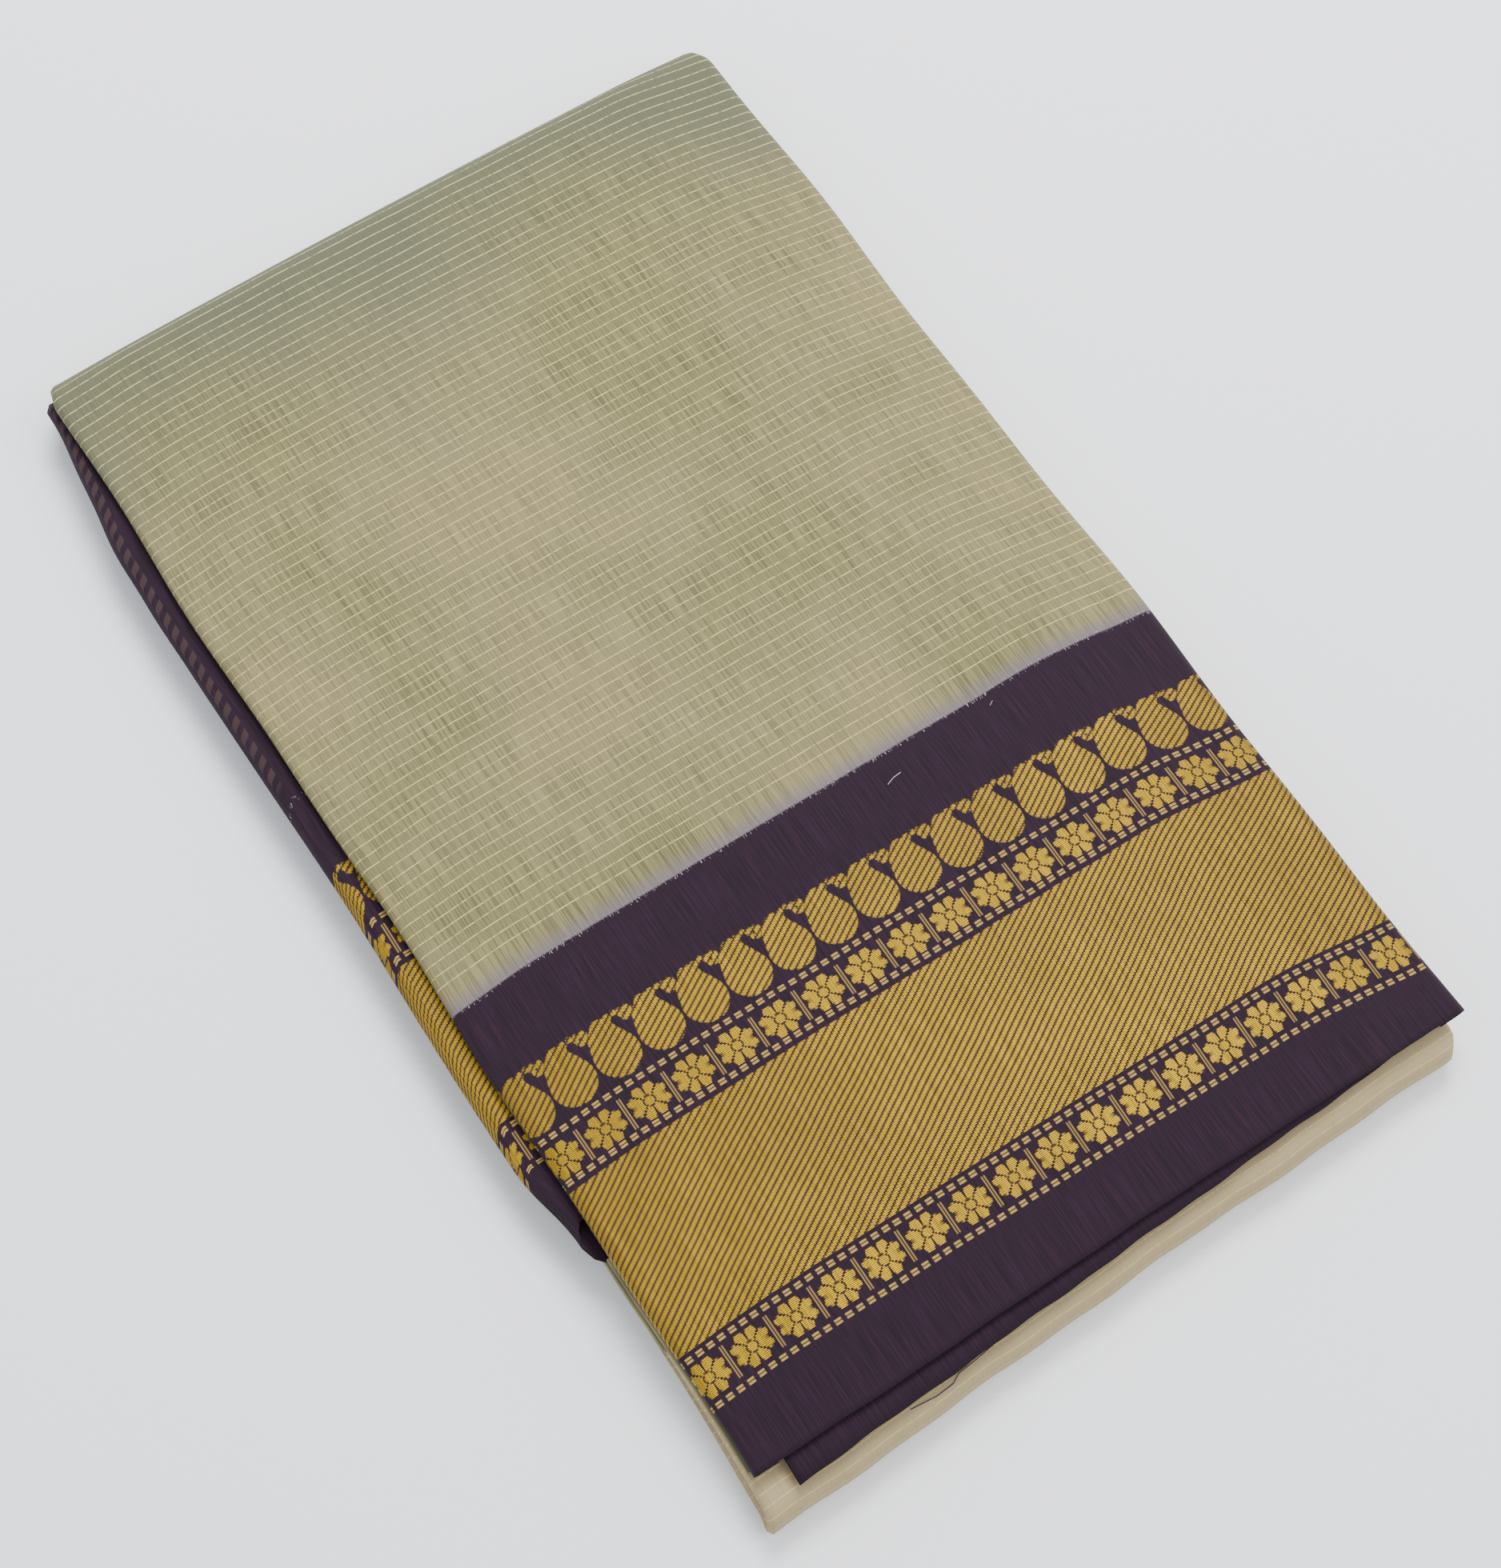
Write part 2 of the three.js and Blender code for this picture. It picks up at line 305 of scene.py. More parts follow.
@dataclass(frozen=True)
class Turned:
    """A cross-section with both edges turned in under the face."""

    left: float
    right: float
    left_fold: float
    right_fold: float
    leaf: float

    def at(self, travelled: float) -> tuple[float, float]:
        """Finds a point of the section.

        Args:
            travelled: Length from the end of the left leaf, over the face, to the end of the right one.

        Returns:
            Its place across the pack, and its depth under the outer face.
        """
        left_r, right_r = self.left_fold / 2, self.right_fold / 2
        left_leaf, right_leaf = self.leaf - left_r, self.leaf - right_r
        face = self.right - self.left - left_r - right_r
        if travelled <= left_leaf:
            return self.left + self.leaf - travelled, self.left_fold
        travelled -= left_leaf
        if travelled <= math.pi * left_r:
            angle = travelled / left_r
            return self.left + left_r * (1 - math.sin(angle)), left_r * (1 + math.cos(angle))
        travelled -= math.pi * left_r
        if travelled <= face:
            return self.left + left_r + travelled, 0.0
        travelled -= face
        if travelled <= math.pi * right_r:
            angle = travelled / right_r
            return self.right - right_r * (1 - math.sin(angle)), right_r * (1 - math.cos(angle))
        travelled -= math.pi * right_r
        return self.right - right_r - min(travelled, right_leaf), self.right_fold

    @property
    def length(self) -> float:
        """Length of the cloth across the section."""
        rounds = self.left_fold + self.right_fold
        return 2 * self.leaf + self.right - self.left - rounds + math.pi * rounds / 2


@dataclass(frozen=True)
class Hairpin:
    """A cross-section folded back under itself at its left edge."""

    left: float
    right: float
    depth: float
    height: float

    def at(self, travelled: float) -> tuple[float, float]:
        """Finds a point of the section.

        Args:
            travelled: Length from the lower leaf's inner end, round the nose, to the upper leaf's.

        Returns:
            Its place across the pack, and its depth under the outer face.
        """
        radius = self.height / 2
        flat = self.right - self.left - radius
        if travelled <= flat:
            return self.right - travelled, self.depth + self.height
        travelled -= flat
        if travelled <= math.pi * radius:
            angle = travelled / radius
            return self.left + radius * (1 - math.sin(angle)), self.depth + radius * (1 + math.cos(angle))
        return self.left + radius + min(travelled - math.pi * radius, flat), self.depth

    @property
    def length(self) -> float:
        """Length of the cloth across the section."""
        return 2 * (self.right - self.left - self.height / 2) + math.pi * self.height / 2


@dataclass(frozen=True)
class Flat:
    """A flat cross-section at one depth."""

    left: float
    right: float
    depth: float

    def at(self, travelled: float) -> tuple[float, float]:
        """Finds a point of the section.

        Args:
            travelled: Length from its left edge.

        Returns:
            Its place across the pack, and its depth under the outer face.
        """
        return self.left + travelled, self.depth

    @property
    def length(self) -> float:
        """Length of the cloth across the section."""
        return self.right - self.left


def add_object(name: str, mesh: bmesh.types.BMesh) -> bpy.types.Object:
    """Puts a mesh into the scene as an object.

    Args:
        name: The object's name.
        mesh: The mesh, which is freed.

    Returns:
        The object.
    """
    data = bpy.data.meshes.new(name)
    mesh.to_mesh(data)
    mesh.free()
    obj = bpy.data.objects.new(name, data)
    bpy.context.collection.objects.link(obj)
    return obj


@dataclass(frozen=True)
class Crease:
    """A soft trough or ridge pressed into the top cloth, between two points seen from above."""

    start: tuple[float, float]
    end: tuple[float, float]
    height: float
    reach: float
    end_height: float = 0.25
    end_reach: float = 0.3

    def lift(self, x: float, y: float) -> float:
        """Gives the crease's height at a point.

        Args:
            x: Place across the pack.
            y: Place along it.

        Returns:
            Millimetres up, negative in a trough.
        """
        ax, ay = self.start
        dx, dy = self.end[0] - ax, self.end[1] - ay
        share = ((x - ax) * dx + (y - ay) * dy) / (dx * dx + dy * dy)
        near = min(1.0, max(0.0, share))
        away = math.hypot(x - ax - dx * near, y - ay - dy * near)
        fade = smooth(min(near, 1 - near), 0.0, self.end_reach)
        middle = self.end_height + (1 - self.end_height) * fade
        return self.height * math.exp(-((away / self.reach) ** 2)) * middle


CREASES = (
    Crease((-112, -190), (-60, -60), -0.35, 9),
    Crease((-118, -60), (-96, 150), 0.30, 8),
    Crease((-30, 190), (20, -40), 0.22, 16),
    Crease((70, 195), (95, 20), -0.28, 12),
    Crease((-80, 40), (90, 64), 0.16, 14),
    Crease((30, -196), (64, -120), 0.20, 12),
    Crease((104, -190), (112, -40), -0.30, 9),
    Crease((-100, -38), (110, -44), -0.22, 7),
    Crease((-60, 180), (60, 172), 0.25, 10),
)


class Cloth:
    """Base of every cloth shell: a grid laid along a route and across a section, then thickened."""

    name = "cloth"
    node = ""
    slot = ""
    columns = 60
    rows = 100
    thickness = 0.4
    top_share = 0.8
    floor_reach = 1.5
    rests_on: tuple[str, ...] = ("inner_layers",)

    def __init__(self, pack: Pack, offset: Vector) -> None:
        """Keeps the sizes.

        Args:
            pack: The pack's sizes.
            offset: Shift from the pack's own frame to the row frame, in millimetres.
        """
        self.pack = pack
        self.offset = offset

    def route(self) -> Route:
        """Gives the route that the stretch runs along.

        Returns:
            The route.
        """
        raise NotImplementedError

    def section(self, station: Station) -> Turned | Hairpin | Flat:
        """Gives the section at a station.

        Args:
            station: The place along the route.

        Returns:
            The section there.
        """
        raise NotImplementedError

    def nudge(self, x: float, station: Station, across: float) -> tuple[float, float]:
        """Gives the small waves and creases of the cloth.

        Args:
            x: Place across the pack.
            station: The place along the route.
            across: Share of the section.

        Returns:
            The shift along the pack, and the lift off its face.
        """
        return 0.0, 0.0

    def weave_place(self, across: float, along: float, size: tuple[float, float]) -> tuple[float, float]:
        """Gives a point's place in the woven cloth.

        Args:
            across: Share of the section.
            along: Share of the route.
            size: Width and length of the cloth.

        Returns:
            Millimetres from the cloth's left and from its selvedge.
        """
        return across * size[0], along * size[1]

    def build(self, material: bpy.types.Material) -> bpy.types.Object:
        """Makes the shell and registers it.

        Args:
            material: The cloth's finish.

        Returns:
            The finished object.
        """
        route = self.route()
        middle = self.section(route.at(route.length / 2))
        size = (middle.length, route.length)
        mesh = bmesh.new()
        layer = mesh.loops.layers.uv.new("weave")
        bmesh.ops.create_grid(mesh, x_segments=self.columns, y_segments=self.rows, size=1.0)
        flat = {v: ((v.co.x + 1) / 2, (v.co.y + 1) / 2) for v in mesh.verts}
        for face in mesh.faces:
            for loop in face.loops:
                place = self.weave_place(*flat[loop.vert], size)
                loop[layer].uv = (place[0] * MM, place[1] * MM)
        for vert, (across, along) in flat.items():
            vert.co = self.place(route, across, along)
        bmesh.ops.recalc_face_normals(mesh, faces=mesh.faces)
        self.face_outwards(mesh)
        bmesh.ops.solidify(mesh, geom=mesh.faces, thickness=self.thickness * MM)
        obj = add_object(self.name, mesh)
        obj.data.shade_smooth()
        obj.data.materials.append(material)
        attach(obj, "root")
        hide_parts(self.node)
        log.info("%s: %d x %d mm of cloth", self.name, size[0], size[1])
        return obj

    def face_outwards(self, mesh: bmesh.types.BMesh) -> None:
        """Turns the grid's faces so that solidify grows into the pack.

        Args:
            mesh: The placed grid.
        """
        mesh.normal_update()
        top, bottom = self.pack.height * self.top_share * MM, self.floor_reach * MM
        up = sum(f.normal.z * f.calc_area() for f in mesh.faces if f.calc_center_median().z > top)
        down = sum(f.normal.z * f.calc_area() for f in mesh.faces if f.calc_center_median().z < bottom)
        if up - down < 0:
            bmesh.ops.reverse_faces(mesh, faces=mesh.faces)

    def place(self, route: Route, across: float, along: float) -> Vector:
        """Places a grid point.

        Args:
            route: The stretch's route.
            across: Share of the section.
            along: Share of the route.

        Returns:
            The point in metres in the row frame.
        """
        station = route.at(along * route.length)
        section = self.section(station)
        x, depth = section.at(across * section.length)
        shift, lift = self.nudge(x, station, across)
        depth -= lift
        y = station.y - station.out_y * depth + shift
        point = self.pack.settle(x, y, station.z - station.out_z * depth)
        return (point + self.offset) * MM


class TopCloth(Cloth):
    """The stretch on top, from its selvedge over the far fold."""

    name = "cloth_top"
    node = "top_stretch"
    slot = "body_cotton"
    columns = 150
    rows = 220
    seam_reach = 4.0
    fold_tuck = 2.2
    left_thinning = 0.48
    selvedge_slant = 0.9
    right_sag = 4.2
    right_sag_zone = (72.0, 128.0)
    left_sag = 1.2
    left_sag_zone = (90.0, 128.0)
    sway = Ripple(0.9, 60.0)
    crease_margin = (1.0, 12.0)
    ripple_reach = 30.0
    ripples = (Ripple(0.1, 9.0), Ripple(0.3, 31.0, 1.1), Ripple(0.08, 3.9))

    def route(self) -> Route:
        """Gives the route over the top and round the far fold.

        Returns:
            The route.
        """
        p = self.pack
        run = Route(p).straight(-p.half_length, p.far_centre, p.height, 1, thins=True)
        run.fold(p.far_centre, p.far_radius, 1, True)
        return run.straight(p.far_centre, p.far_centre - self.seam_reach, 0, -1)

    def section(self, station: Station) -> Turned:
        """Gives the section with both edges turned in.

        Args:
            station: The place along the route.

        Returns:
            The section there.
        """
        p = self.pack
        on_top = station.out_z > 0.99
        past = 0 if on_top else smooth(p.height - station.z, 0, p.height)
        thin = p.thin(station.y) if on_top else 0
        tuck = self.fold_tuck * station.turn
        return Turned(
            -p.half_width + tuck,
            p.half_width - tuck,
            p.top_left_fold + (p.base_left_fold - p.top_left_fold) * past - self.left_thinning * thin,
            p.top_panel + (p.base_right_fold - p.top_panel) * past - thin,
            p.leaf,
        )

    def nudge(self, x: float, station: Station, across: float) -> tuple[float, float]:
        """Adds the selvedge's small waves and the pressed creases.

        Args:
            x: Place across the pack.
            station: The place along the route.
            across: Share of the section.

        Returns:
            The shift along the pack, and the lift off its face.
        """
        p = self.pack
        near = smooth(-station.y, p.half_length - self.ripple_reach, p.half_length)
        wave = ripple(x, self.ripples)
        start = p.half_length - p.slant_reach
        slant = -self.selvedge_slant * x / p.half_width * smooth(-station.y, start, p.half_length)
        inside = smooth(p.half_width - abs(x), *self.crease_margin) * max(0.0, station.out_z)
        lift = sum(crease.lift(x, station.y) for crease in CREASES) * inside
        return near * wave + slant, lift

    def weave_place(self, across: float, along: float, size: tuple[float, float]) -> tuple[float, float]:
        """Sets the border's place: its rows sag a little towards the right edge.

        Args:
            across: Share of the section.
            along: Share of the route.
            size: Width and length of the cloth.

        Returns:
            Millimetres from the cloth's left and from its selvedge.
        """
        x = across * size[0] - size[0] / 2
        sag = self.right_sag * smooth(x, *self.right_sag_zone)
        sag += self.left_sag * smooth(-x, *self.left_sag_zone)
        return across * size[0], along * size[1] + sag + ripple(x, (self.sway,))


class SecondCloth(Cloth):
    """The next stretch down, whose selvedge peeks out."""

    name = "cloth_second"
    node = "second_stretch"
    slot = "border_cotton"
    columns = 90
    rows = 26
    peek = 4.0
    cloth_length = 108.0
    left_inset = 9.4
    right_inset = 1.5
    slant = 3.6
    ripple_reach = 10.0
    ripples = (Ripple(0.16, 7.0, 0.8), Ripple(0.14, 2.9))

    def route(self) -> Route:
        """Gives the short route under the top stretch.

        Returns:
            The route.
        """
        p = self.pack
        start = -p.half_length - self.peek
        return Route(p).straight(start, start + self.cloth_length, p.height, 1, thins=True)

    def section(self, station: Station) -> Flat:
        """Gives the flat section under the top cloth.

        Args:
            station: The place along the route.

        Returns:
            The section there.
        """
        p = self.pack
        right = p.half_width - p.cloth - self.right_inset
        return Flat(-p.half_width + self.left_inset, right, p.cloth + p.sheet_gap)

    def nudge(self, x: float, station: Station, across: float) -> tuple[float, float]:
        """Slants the selvedge and gives it small waves.

        Args:
            x: Place across the pack.
            station: The place along the route.
            across: Share of the section.

        Returns:
            The shift along the pack, and the lift off its face.
        """
        p = self.pack
        selvedge = p.half_length + self.peek
        near = smooth(-station.y, p.half_length - p.slant_reach, selvedge)
        edge = smooth(-station.y, p.half_length - self.ripple_reach, selvedge)
        return self.slant * x / p.half_width * near + ripple(x, self.ripples) * edge, 0.0


class PalluCloth(Cloth):
    """The folded pallu that sticks out at the left."""

    name = "cloth_pallu"
    node = "pallu_stretch"
    slot = "pallu_cotton"
    columns = 44
    rows = 200
    short = 72.0
    step = 13.0
    border_step = 10.0
    proud = 7.4
    depth_in = 36.0
    fold_height = 2.45
    short_taper = 3.4
    short_taper_start = 106.0
    far_taper = 5.6
    far_taper_reach = 60.0
    fold_taper = 7.0
    raggedness = 0.6
    ragged_zone = (60.0, 170.0)
    slow_ragged = Ripple(0.5, 13.0)
    fast_ragged = Ripple(0.3, 4.7, 1.0)
    step_start = 110.0
    nose = (0.45, 0.55)

    def route(self) -> Route:
        """Gives the route under the top stretch and into the far fold.

        Returns:
            The route.
        """
        p = self.pack
        run = Route(p).straight(-p.half_length + self.short, p.far_centre, p.height, 1, thins=True)
        return run.fold(p.far_centre, p.far_radius, 1, True)

    def section(self, station: Station) -> Hairpin:
        """Gives the hairpin section, which tapers to both its ends.

        Args:
            station: The place along the route.

        Returns:
            The section there.
        """
        p = self.pack
        y = station.y
        short_end = smooth(-y, p.half_length - self.short_taper_start, p.half_length - self.short)
        far_end = smooth(y, p.far_centre - self.far_taper_reach, p.half_length)
        drop = smooth(p.height - station.z, 0, p.height)
        fast = ripple(y, (self.fast_ragged,)) * smooth(y, *self.ragged_zone)
        ragged = ripple(y, (self.slow_ragged,)) + fast
        left = -p.half_width - self.proud + self.short_taper * short_end + self.far_taper * far_end
        left += self.fold_taper * drop
        left += self.raggedness * ragged
        depth = p.top_left_fold + p.sheet_gap
        return Hairpin(left, -p.half_width + self.depth_in, depth, self.fold_height)

    def nudge(self, x: float, station: Station, across: float) -> tuple[float, float]:
        """Steps the lower leaf's end out past the upper one's.

        Args:
            x: Place across the pack.
            station: The place along the route.
            across: Share of the section.

        Returns:
            The shift along the pack, and the lift off its face.
        """
        p = self.pack
        upper = smooth(across, *self.nose)
        start = smooth(-station.y, p.half_length - self.step_start, p.half_length - self.short)
        return start * (upper * self.step - 1.0), 0.0

    def weave_place(self, across: float, along: float, size: tuple[float, float]) -> tuple[float, float]:
        """Starts both leaves' borders at their own selvedges.

        Args:
            across: Share of the section.
            along: Share of the route.
            size: Width and length of the cloth.

        Returns:
            Millimetres from the cloth's left and from its selvedge.
        """
        return across * size[0], along * size[1] - self.border_step * smooth(across, *self.nose)


class UnderCloth(Cloth):
    """The stretch along the floor and round the near fold."""

    name = "cloth_under"
    node = "under_stretch"
    slot = "under_cotton"
    rests_on = ()
    columns = 120
    rows = 170
    seam_reach = 4.0
    tail = 42.0
    body_start = 400.0
    left_slant = 2.9
    right_slant = 0.9
    left_swell = 1.6
    left_round = 1.2
    right_inset = 1.5
    right_taper = 3.5
    right_round = 2.6
    ripple_reach = 20.0
    ripples = (Ripple(0.25, 11.0), Ripple(0.2, 4.6, 0.4))

    def route(self) -> Route:
        """Gives the route along the floor, round the near fold and into the pack.

        Returns:
            The route.
        """
        p = self.pack
        run = Route(p).straight(p.far_centre - self.seam_reach - p.sheet_gap, p.near_centre, 0, -1)
        run.fold(p.near_centre, p.tucked_top / 2, -1, False)
        return run.straight(p.near_centre, -p.half_length + self.tail, p.tucked_top, 1)

    def section(self, station: Station) -> Turned:
        """Gives the section with both edges turned up.

        Args:
            station: The place along the route.

        Returns:
            The section there.
        """
        p = self.pack
        near = smooth(-station.y, p.half_length - p.slant_reach, -p.near_centre)
        return Turned(
            -p.half_width - self.left_swell * near - self.left_round * station.turn,
            p.half_width - self.right_inset - self.right_taper * near - self.right_round * station.turn,
            p.base_left_fold,
            p.base_right_fold,
            p.leaf,
        )

    def nudge(self, x: float, station: Station, across: float) -> tuple[float, float]:
        """Slants the near fold, lower at the left as in the photo.

        Args:
            x: Place across the pack.
            station: The place along the route.
            across: Share of the section.

        Returns:
            The shift along the pack, and the lift off its face.
        """
        share = x / self.pack.half_width
        slant = share * (self.left_slant if share < 0 else self.right_slant)
        near = smooth(-station.y, self.pack.half_length - self.ripple_reach, -self.pack.near_centre)
        return (slant + ripple(x, self.ripples)) * near, 0.0

    def weave_place(self, across: float, along: float, size: tuple[float, float]) -> tuple[float, float]:
        """Puts this stretch beyond the border, all in the body.

        Args:
            across: Share of the section.
            along: Share of the route.
            size: Width and length of the cloth.

        Returns:
            Millimetres from the cloth's left and from its selvedge.
        """
        return across * size[0], self.body_start + along * size[1]


@dataclass(frozen=True)
class LooseThread:
    """A loose end or a bit of lint that lies on the cloth, as points in the pack's own frame."""

    name: str
    points: tuple[tuple[float, float, float], ...]
    colour: Colour
    radius: float = 0.13
    slot: str = "border_cotton"

    def build(self, offset: Vector) -> bpy.types.Object:
        """Makes the thread.

        Args:
            offset: Shift from the pack's own frame to the row frame, in millimetres.

        Returns:
            The finished object.
        """
        mesh = bmesh.new()
        turn = Matrix.Rotation(math.pi / 2, 4, "Y")
        place = Matrix.Translation((Vector(self.points[0]) + offset) * MM) @ turn
        ring = bmesh.ops.create_circle(mesh, segments=6, radius=self.radius * MM, cap_ends=True, matrix=place)
        edges = list({edge for vert in ring["verts"] for edge in vert.link_edges})
        for start, end in zip(self.points, self.points[1:]):
            grown = bmesh.ops.extrude_edge_only(mesh, edges=edges)["geom"]
            verts = [part for part in grown if isinstance(part, bmesh.types.BMVert)]
            edges = [part for part in grown if isinstance(part, bmesh.types.BMEdge)]
            edges = [edge for edge in edges if all(vert in verts for vert in edge.verts)]
            bmesh.ops.translate(mesh, verts=verts, vec=(Vector(end) - Vector(start)) * MM)
        bmesh.ops.contextual_create(mesh, geom=edges)
        bmesh.ops.recalc_face_normals(mesh, faces=mesh.faces)
        obj = add_object(self.name, mesh)
        obj.data.materials.append(self.finish())
        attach(obj, "root")
        return obj

    def finish(self) -> bpy.types.Material:
        """Makes the thread's uneven fibre.

        Returns:
            The material.
        """
        material = bpy.data.materials.new(self.name)
        material.use_nodes = True
        tree = material.node_tree
        shader = tree.nodes["Principled BSDF"]
        fibre = tree.nodes.new("ShaderNodeTexNoise")
        fibre.inputs["Scale"].default_value = 900.0
        shaded = tuple(channel * 0.6 for channel in self.colour)
        colour = mix(tree, fibre.outputs[0], shaded, self.colour)
        tree.links.new(colour, shader.inputs["Base Color"])
        shader.inputs["Roughness"].default_value = 0.9
        return material


LOOSE_THREADS = (
    LooseThread(
        "loose_end",
        (
            (-74.0, -203.4, 12.2),
            (-66.0, -204.3, 11.9),
            (-60.5, -204.0, 12.1),
            (-57.8, -202.6, 12.5),
            (-52.0, -202.2, 13.0),
            (-44.0, -201.4, 13.8),
            (-35.5, -199.6, 14.9),
        ),
        srgb(60, 20, 50),
    ),
    LooseThread(
        "lint_long",
        ((21.0, -54.4, 20.72), (23.6, -53.5, 20.78), (26.2, -53.3, 20.72)),
        srgb(200, 196, 200),
        0.1,
    ),
    LooseThread("lint_short", ((60.2, -50.0, 20.46), (61.6, -49.2, 20.46)), srgb(190, 186, 190), 0.09),
)


def mix(
    tree: bpy.types.NodeTree,
    share: bpy.types.NodeSocket,
    first: bpy.types.NodeSocket | Colour,
    second: bpy.types.NodeSocket | Colour,
) -> bpy.types.NodeSocket:
    """Mixes two colours.

    Args:
        tree: The material's tree.
        share: How much of the second.
        first: The first colour.
        second: The second colour.

    Returns:
        The mixed colour.
    """
    node = tree.nodes.new("ShaderNodeMix")
    node.data_type = "RGBA"
    tree.links.new(share, node.inputs[0])
    for slot, value in ((node.inputs[6], first), (node.inputs[7], second)):
        if isinstance(value, tuple):
            slot.default_value = (*value, 1.0)
        else:
            tree.links.new(value, slot)
    return node.outputs[2]


class Sum:
    """A number in a shader, which ordinary operators combine."""

    def __init__(self, tree: bpy.types.NodeTree, socket: bpy.types.NodeSocket) -> None:
        """Wraps a socket.

        Args:
            tree: The node tree.
            socket: The socket that puts the number out.
        """
        self.tree = tree
        self.socket = socket

    def op(self, kind: str, *others: "Sum | float") -> "Sum":
        """Adds a maths node.

        Args:
            kind: The node's operation.
            others: The other inputs.

        Returns:
            The result.
        """
        node = self.tree.nodes.new("ShaderNodeMath")
        node.operation = kind
        for slot, value in zip(node.inputs, (self, *others)):
            if isinstance(value, Sum):
                self.tree.links.new(value.socket, slot)
            else:
                slot.default_value = value
        return Sum(self.tree, node.outputs[0])

    def __add__(self, other: "Sum | float") -> "Sum":
        """Adds another number."""
        return self.op("ADD", other)

    def __sub__(self, other: "Sum | float") -> "Sum":
        """Takes another number off."""
        return self.op("SUBTRACT", other)

    def __mul__(self, other: "Sum | float") -> "Sum":
        """Multiplies by another number."""
        return self.op("MULTIPLY", other)

    def __truediv__(self, other: "Sum | float") -> "Sum":
        """Divides by another number."""
        return self.op("DIVIDE", other)

    def inverse(self) -> "Sum":
        """Takes this from one.

        Returns:
            The result.
        """
        return (self * -1.0) + 1.0

    def rise(self, low: float, high: float) -> "Sum":
        """Gives a smooth rise from 0 at low to 1 at high.

        Args:
            low: Where it starts.
            high: Where it ends.

        Returns:
            The share.
        """
        node = self.tree.nodes.new("ShaderNodeMapRange")
        node.interpolation_type = "SMOOTHSTEP"
        self.tree.links.new(self.socket, node.inputs["Value"])
        node.inputs["From Min"].default_value = low
        node.inputs["From Max"].default_value = high
        return Sum(self.tree, node.outputs["Result"])

    def band(self, low: float, high: float, soft: float) -> "Sum":
        """Gives 1 between two values, with soft ends.

        Args:
            low: The lower value.
            high: The upper value.
            soft: Half-width of each end.

        Returns:
            The mask.
        """
        return self.rise(low - soft, low + soft) * self.rise(high - soft, high + soft).inverse()

    def wrap(self, pitch: float, centre: float) -> "Sum":
        """Repeats a place so that it runs from minus to plus half a pitch round a centre.

        Args:
            pitch: The repeat's length.
            centre: Where the middle of a repeat lies.

        Returns:
            The repeated place.
        """
        return (((self - centre) / pitch + 0.5).op("FRACT") - 0.5) * pitch


@dataclass(frozen=True)
class BorderChart:
    """Where the border's bands lie from the selvedge, and their repeats, in millimetres but for the lean."""

    flower_rows: tuple[float, float] = (28.2, 99.9)
    dash_rows: tuple[float, ...] = (21.0, 35.0, 93.6, 107.2)
    twill: tuple[float, float] = (37.0, 91.2)
    paisley_foot: float = 109.2
    purple_end: float = 151.5
    blend_end: float = 158.0
    repeat: float = 14.3
    dash_pitch: float = 3.575
    rib: float = 0.475
    twill_pitch: float = 3.45
    twill_lean: float = 1.73
    zari_pitch: float = 3.45
    ragged: float = 1.6
    window_pitch: float = 5.0
    window_sides: tuple[float, float] = (45.6, 48.4)
    # The next two pairs place the painted shade that darkens and greys the top cloth towards the far fold.
    far_fold_shade: tuple[float, float] = (300.0, 400.0)
    far_fold_shade_end: tuple[float, float] = (560.0, 470.0)
    # This pair places the painted light that makes the near fold lighter and browner.
    near_fold_light: tuple[float, float] = (690.0, 780.0)


CHART = BorderChart()


@dataclass(frozen=True)
class Round:
    """A round of thread in a figure, from the middle of its repeat and its foot, in millimetres."""

    x: float
    y: float
    radius: float


PAISLEY_BODY = (
    Round(0.0, 6.7, 6.75),
    Round(-0.3, 9.3, 5.9),
    Round(-0.6, 12.0, 4.9),
    Round(0.0, 14.6, 3.5),
)
PAISLEY_HOOK = (
    Round(3.0, 17.0, 1.15),
    Round(5.2, 17.4, 0.95),
    Round(7.1, 16.6, 1.3),
    Round(8.9, 16.3, 1.5),
    Round(8.0, 15.4, 1.7),
)
PAISLEY_SLIT = (Round(5.2, 16.1, 0.55), Round(7.9, 15.8, 0.35))
HOOK_MIDDLE = 6.0


@dataclass(frozen=True)
class Petals:
    """Sizes of the eight-petalled flower, in millimetres but for its width and its count."""

    count: float = 8.0
    width: float = 1.16
    thread: float = 0.62
    reach: float = 4.95
    lobe: float = 0.5
    ring: tuple[float, float] = (1.25, 1.7)
    cleft: tuple[float, float] = (1.9, 6.0)


PETALS = Petals()


MASKS = ("Gold", "Pale", "Purple", "Blend", "Zari", "Slub", "Relief", "Tick", "FoldShade", "WarmPatchAndLight", "Window")


